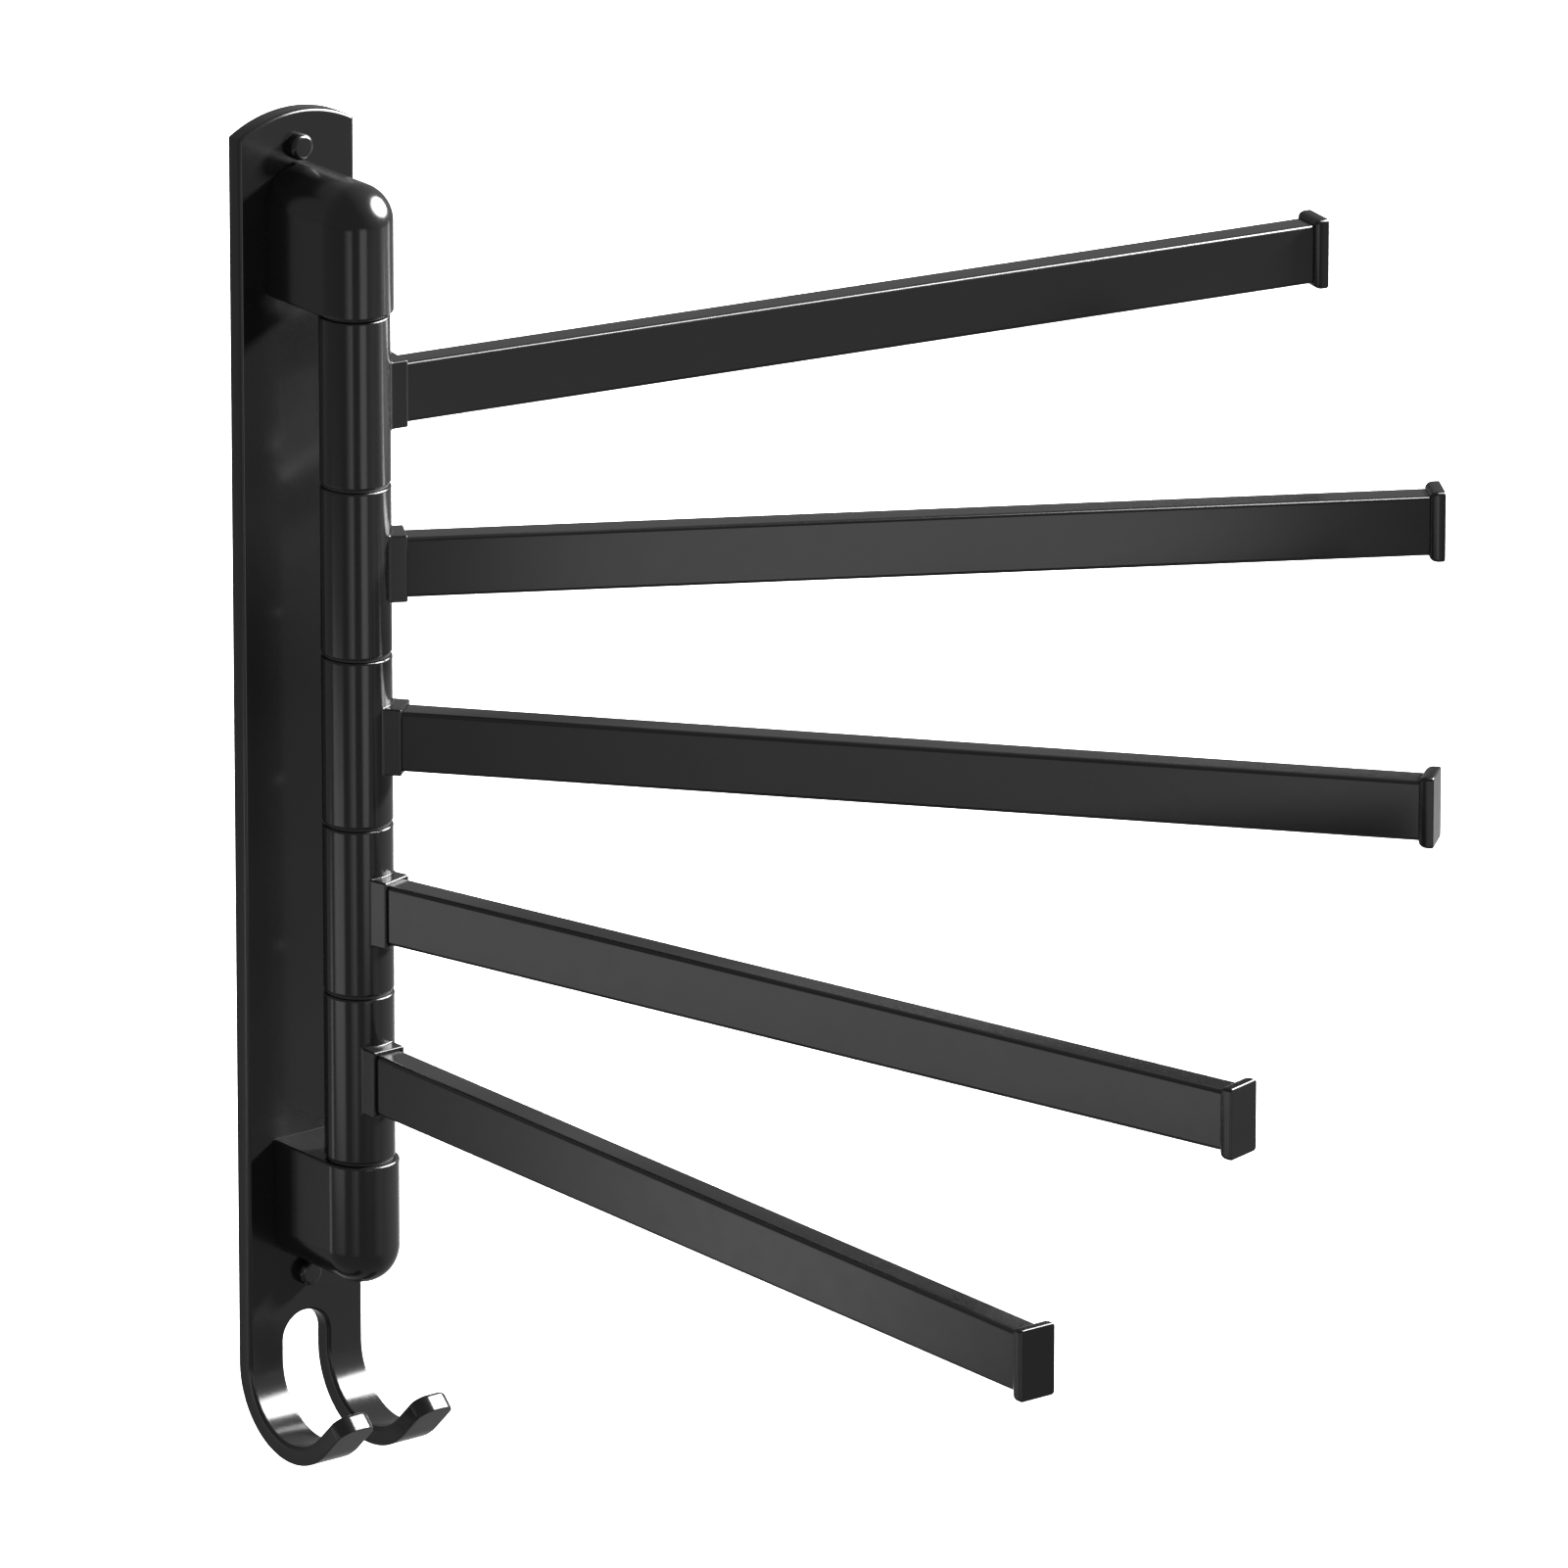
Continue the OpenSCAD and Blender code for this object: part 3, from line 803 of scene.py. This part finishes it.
class RACK_OT_caps(Operator):
    """Model the five end caps, each with a rounded back and a plug."""

    bl_idname = "rack.caps"
    bl_label = "End caps"

    def loops(self, arm, outer, back, lip):
        """Places and insets of the loops from the outer face over the rim to the bar."""
        for i in range(1, CAP_FACE_STEPS + 1):
            turn = QUARTER * i / CAP_FACE_STEPS
            yield outer - arm.cap_face * (1 - math.cos(turn)), arm.cap_face * (1 - math.sin(turn))
        for i in range(CAP_BACK_STEPS + 1):
            turn = QUARTER * i / CAP_BACK_STEPS
            yield back + arm.cap_back * (1 - math.sin(turn)), lip * (1 - math.cos(turn))
        inside = lip + arm.bar_wall + arm.bar_gap
        yield back, inside
        yield back - arm.plug_length, inside

    def resize(self, bm, verts, inset, middle):
        """Sets a loop's width and height to those of the cap less an inset."""
        width = max(v.co.y for v in verts)
        height = max(v.co.z for v in verts) - middle
        factors = (1, (CAP_HIGH.x - inset) / width, (CAP_HIGH.z - ARM_Z - middle - inset) / height)
        space = Matrix.Translation((0, 0, -middle))
        bmesh.ops.scale(bm, verts=verts, vec=factors, space=space)

    def execute(self, context):
        arm = sizes("rack_arm")
        outer, back = PIVOT_Y - CAP_LOW.y, PIVOT_Y - BAR_LOW.y
        low, high = CAP_LOW.z - ARM_Z, CAP_HIGH.z - ARM_Z
        middle = (low + high) / 2
        for n in ARMS:
            bm = bmesh.new()
            face = rounded_panel(
                bm, outer, CAP_HIGH.x, low, high, arm.cap_round, segments=5
            )
            self.resize(bm, face.verts, arm.cap_face, middle)
            edges = face.edges[:]
            place = outer
            for x, inset in self.loops(arm, outer, back, CAP_HIGH.x - BAR_HIGH.x):
                edges = [e for e in push_edges(bm, edges, (x - place, 0, 0)) if e.is_boundary]
                self.resize(bm, verts_of(edges), inset, middle)
                place = x
            fill(bm, edges)
            weld(bm)
            bmesh.ops.transform(bm, verts=bm.verts, matrix=arm_place(n))
            finish_piece(
                bm, f"arm_{n}_cap", f"arm_{n}", [f"end_cap_{n}"],
                finish("cap_plastic"),
            )
        return {"FINISHED"}


class RACK_OT_wall_screws(Operator):
    """Model the two wall screws with their round heads and threads."""

    bl_idname = "rack.wall_screws"
    bl_label = "Wall screws"

    def shaft(self, bm, screw, head_radius, front, back, tip):
        """Turns the head, shank, core and point about the screw's axis."""
        rim = screw.head_round
        pen = bm.verts.new((0, front, 0))
        pen = line_to(bm, pen, (head_radius - rim, front, 0))
        pen = arc_to(bm, pen, (head_radius - rim, front + rim, 0), Z_AXIS, QUARTER, HEAD_RIM_STEPS)
        pen = line_to(bm, pen, (head_radius, back, 0))
        pen = line_to(bm, pen, (screw.shank_radius, back, 0))
        pen = line_to(bm, pen, (screw.shank_radius, 0, 0))
        pen = line_to(bm, pen, (screw.core_radius, screw.shank_radius - screw.core_radius, 0))
        pen = line_to(bm, pen, (screw.core_radius, tip - screw.point_length, 0))
        line_to(bm, pen, (0, tip, 0))
        revolve(bm, bm.edges[:], (0, 0, 0), Y_AXIS, 2 * math.pi, SHAFT_STEPS)
        weld(bm)

    def thread(self, screw, tip):
        """Winds the thread's ridge round the core, thinning it over the point."""
        bm = bmesh.new()
        pitch = screw.thread_pitch
        foot = screw.core_radius * RIDGE_FOOT
        start = 2 * pitch / 3
        points = [(foot, -RIDGE_HALF), (screw.thread_radius, 0), (foot, RIDGE_HALF)]
        bm.faces.new([bm.verts.new((x, start + y * pitch, 0)) for x, y in points])
        turns = (tip - start - pitch / 2) / pitch
        steps = round(turns * THREAD_STEPS)
        bmesh.ops.spin(
            bm, geom=all_parts(bm), cent=(0, 0, 0), axis=Y_AXIS, steps=steps,
            dvec=(0, pitch / THREAD_STEPS, 0), angle=2 * math.pi * steps / THREAD_STEPS,
            use_duplicate=False,
        )
        for vert in bm.verts:
            left = max(RIDGE_TIP, min(1, (tip - vert.co.y) / screw.point_length))
            vert.co.x *= left
            vert.co.z *= left
        bmesh.ops.recalc_face_normals(bm, faces=bm.faces)
        return bm

    def execute(self, context):
        screw = sizes("rack_screw")
        head_radius = SCREWS_HIGH.x
        front, back, tip = SCREWS_LOW.y, BRACKET_HIGH.y, SCREWS_HIGH.y
        screw_z = SCREWS_HIGH.z - head_radius
        for name, side in (("upper", 1), ("lower", -1)):
            bm = bmesh.new()
            self.shaft(bm, screw, head_radius, front, back, tip)
            ridge = self.thread(screw, tip)
            spare = bpy.data.meshes.new("ridge")
            ridge.to_mesh(spare)
            ridge.free()
            bm.from_mesh(spare)
            bpy.data.meshes.remove(spare)
            bmesh.ops.translate(bm, verts=bm.verts, vec=(0, 0, side * screw_z))
            finish_piece(
                bm, f"{name}_wall_screw", "root", ["wall_screws"],
                finish("screw_paint"),
            )
        return {"FINISHED"}


class RACK_OT_inner_pieces(Operator):
    """Give the rod, washers, bushes and bracket screws their finishes."""

    bl_idname = "rack.inner_pieces"
    bl_label = "Inner pieces"

    def execute(self, context):
        looks = {
            "pivot_rod": "rod_steel",
            "bracket_screws": "screw_steel",
            "thrust_washer": "washer_nylon",
            "bush": "bush_nylon",
        }
        for name, node in frame["nodes"].items():
            for start, look in looks.items():
                if name.startswith(start):
                    node.data.materials.clear()
                    node.data.materials.append(finish(look))
        return {"FINISHED"}


class RACK_OT_stage(Operator):
    """Set the floor, the lights and the camera."""

    bl_idname = "rack.stage"
    bl_label = "Stage"

    def floor(self, stage):
        """Lays the pale floor."""
        bm = bmesh.new()
        bmesh.ops.create_grid(bm, x_segments=1, y_segments=1, size=stage.floor_size / 2)
        bmesh.ops.translate(bm, verts=bm.verts, vec=(0, 0, -stage.floor_drop))
        mesh = bpy.data.meshes.new("floor")
        bm.to_mesh(mesh)
        bm.free()
        material, tree, shader = new_finish("floor_paper")
        patches = noise(tree, scale=1.5, detail=2)
        tone = tint(tree, patches, tuple(stage.floor_colour), lift=1.03)
        link(tree, tone, shader.inputs["Base Color"])
        shader.inputs["Roughness"].default_value = 0.9
        shader.inputs["Specular IOR Level"].default_value = 0
        mesh.materials.append(material)
        floor = bpy.data.objects.new("floor", mesh)
        bpy.context.scene.collection.objects.link(floor)
        return floor

    def lamp(self, name, size, glow):
        """Makes a rectangular light of a certain brightness, hidden from the camera."""
        light = bpy.data.lights.new(name, "AREA")
        light.shape = "RECTANGLE"
        light.size, light.size_y = size
        light.energy = glow * math.pi * size[0] * size[1]
        lamp = bpy.data.objects.new(name, light)
        lamp.visible_camera = False
        bpy.context.scene.collection.objects.link(lamp)
        return lamp

    def softbox(self, name, azimuth, elevation, distance, size, glow, roll=0):
        """Hangs a light that faces the rack. Its azimuth, elevation and roll are in degrees."""
        lamp = self.lamp(name, size, glow)
        turn, rise = math.radians(azimuth), math.radians(elevation)
        away = Vector((
            math.sin(turn) * math.cos(rise), -math.cos(turn) * math.cos(rise), math.sin(rise)
        ))
        lamp.location = away * distance
        facing = (-away).to_track_quat("-Z", "Y").to_matrix()
        lamp.rotation_euler = (facing @ Matrix.Rotation(math.radians(roll), 3, "Z")).to_euler()
        return lamp

    def card(self, name, place, azimuth, size, glow):
        """Stands an upright reflector at a place, facing back along an azimuth in degrees."""
        lamp = self.lamp(name, size, glow)
        turn = math.radians(azimuth)
        lamp.location = place
        facing = Vector((-math.sin(turn), math.cos(turn), 0))
        lamp.rotation_euler = facing.to_track_quat("-Z", "Y").to_euler()

    def pool(self, stage, name, azimuth, reach, height, size, glow):
        """Lights a patch of the floor at an azimuth in degrees, and stays out of reflections."""
        lamp = self.lamp(name, size, glow)
        turn = math.radians(azimuth)
        lamp.location = (
            math.sin(turn) * reach, -math.cos(turn) * reach, height - stage.floor_drop
        )
        lamp.rotation_euler = (0, 0, turn)
        lamp.visible_glossy = False

    def spare(self, lamp, *things):
        """Keeps a light off some things, as a flag beside it would."""
        spared = bpy.data.collections.new("spared_by_" + lamp.name)
        for thing in things:
            spared.objects.link(thing)
        for entry in spared.collection_objects:
            entry.light_linking.link_state = "EXCLUDE"
        lamp.light_linking.receiver_collection = spared

    def room(self, stage):
        """Fills the room with a plain soft light."""
        world = bpy.data.worlds.new("room")
        world.use_nodes = True
        background = world.node_tree.nodes["Background"]
        background.inputs["Color"].default_value = (1, 1, 1, 1)
        background.inputs["Strength"].default_value = stage.room_light
        bpy.context.scene.world = world

    def camera(self, stage):
        """Sets the camera at the viewing angle of the photograph."""
        data = bpy.data.cameras.new("camera")
        data.lens = stage.lens
        data.sensor_width = 36
        camera = bpy.data.objects.new("camera", data)
        place, aim = Vector(stage.camera_place), Vector(stage.camera_aim)
        camera.location = place
        camera.rotation_euler = (aim - place).to_track_quat("-Z", "Y").to_euler()
        bpy.context.scene.collection.objects.link(camera)
        bpy.context.scene.camera = camera

    def execute(self, context):
        stage = sizes("rack_stage")
        floor = self.floor(stage)
        self.room(stage)
        key = self.softbox(
            "key", azimuth=65.5, elevation=30.7, distance=1.51, size=(1.5, 1.1), glow=26, roll=-20
        )
        key.data.shape = "ELLIPSE"
        key.visible_diffuse = False
        sun = self.softbox(
            "sun", azimuth=73, elevation=27.5, distance=3, size=(0.33, 0.33), glow=1450
        )
        sun.visible_glossy = False
        rim = self.softbox(
            "rim", azimuth=49.4, elevation=47.8, distance=0.755, size=(0.5, 0.16), glow=32,
            roll=-51,
        )
        rim.visible_diffuse = False
        for lamp in (key, sun):
            self.spare(lamp, floor)
        pieces = bpy.data.objects
        self.spare(rim, floor, pieces["wall_plate"], pieces["upper_bracket_casting"])
        self.card("back_card", (-0.73, 0.7, -0.484), azimuth=-142, size=(0.13, 0.2), glow=1.4)
        self.card("left_card", (-0.8, 0.14, -0.33), azimuth=-90, size=(0.54, 0.16), glow=1.35)
        self.card("left_strip", (-1.5, -1.37, -0.56), azimuth=-52, size=(0.36, 0.5), glow=1.2)
        self.card("far_strip", (-1.7, -1.1, -0.56), azimuth=-52, size=(0.27, 0.5), glow=0.6)
        self.card("middle_strip", (-0.12, -0.73, -0.13), azimuth=-8, size=(0.25, 0.33), glow=1.4)
        self.card("front_card", (0.88, -2.87, -0.97), azimuth=17, size=(1.2, 0.6), glow=0.25)
        self.card("right_card", (0.95, -0.4, -0.17), azimuth=68, size=(0.8, 0.15), glow=0.8)
        self.pool(stage, "pool_back", azimuth=142, reach=3.9, height=0.6, size=(2, 3.4), glow=5)
        self.camera(stage)
        bpy.context.scene.view_settings.view_transform = "Standard"
        return {"FINISHED"}


class RACK_PT_sidebar(Panel):
    """Lists the rack's pieces and sizes in the sidebar."""

    bl_label = "Swing arm wall rack"
    bl_idname = "RACK_PT_sidebar"
    bl_space_type = "VIEW_3D"
    bl_region_type = "UI"
    bl_category = "Rack"

    def draw(self, context):
        for group, kind in GROUPS.items():
            box = self.layout.box()
            box.label(text=kind.__doc__)
            for name in kind.__annotations__:
                box.prop(getattr(context.scene, group), name)
        for step in STEPS:
            self.layout.operator(step.bl_idname)


GROUPS = {
    "rack_plate": RackPlateSizes,
    "rack_bracket": RackBracketSizes,
    "rack_arm": RackArmSizes,
    "rack_screw": RackScrewSizes,
    "rack_finishes": RackFinishes,
    "rack_stage": RackStage,
}
STEPS = (
    RACK_OT_wall_plate,
    RACK_OT_brackets,
    RACK_OT_sleeves,
    RACK_OT_bars,
    RACK_OT_caps,
    RACK_OT_wall_screws,
    RACK_OT_inner_pieces,
    RACK_OT_stage,
)


def register():
    """Adds the classes and the scene's groups of values."""
    for kind in (*GROUPS.values(), *STEPS, RACK_PT_sidebar):
        bpy.utils.register_class(kind)
    for name, kind in GROUPS.items():
        setattr(bpy.types.Scene, name, PointerProperty(type=kind))


def unregister():
    """Takes away what register added."""
    for name in GROUPS:
        delattr(bpy.types.Scene, name)
    for kind in reversed((*GROUPS.values(), *STEPS, RACK_PT_sidebar)):
        bpy.utils.unregister_class(kind)


def main():
    register()
    bpy.ops.rack.wall_plate()
    bpy.ops.rack.brackets()
    bpy.ops.rack.sleeves()
    bpy.ops.rack.bars()
    bpy.ops.rack.caps()
    bpy.ops.rack.wall_screws()
    bpy.ops.rack.inner_pieces()
    bpy.ops.rack.stage()


if __name__ == "__main__":
    main()
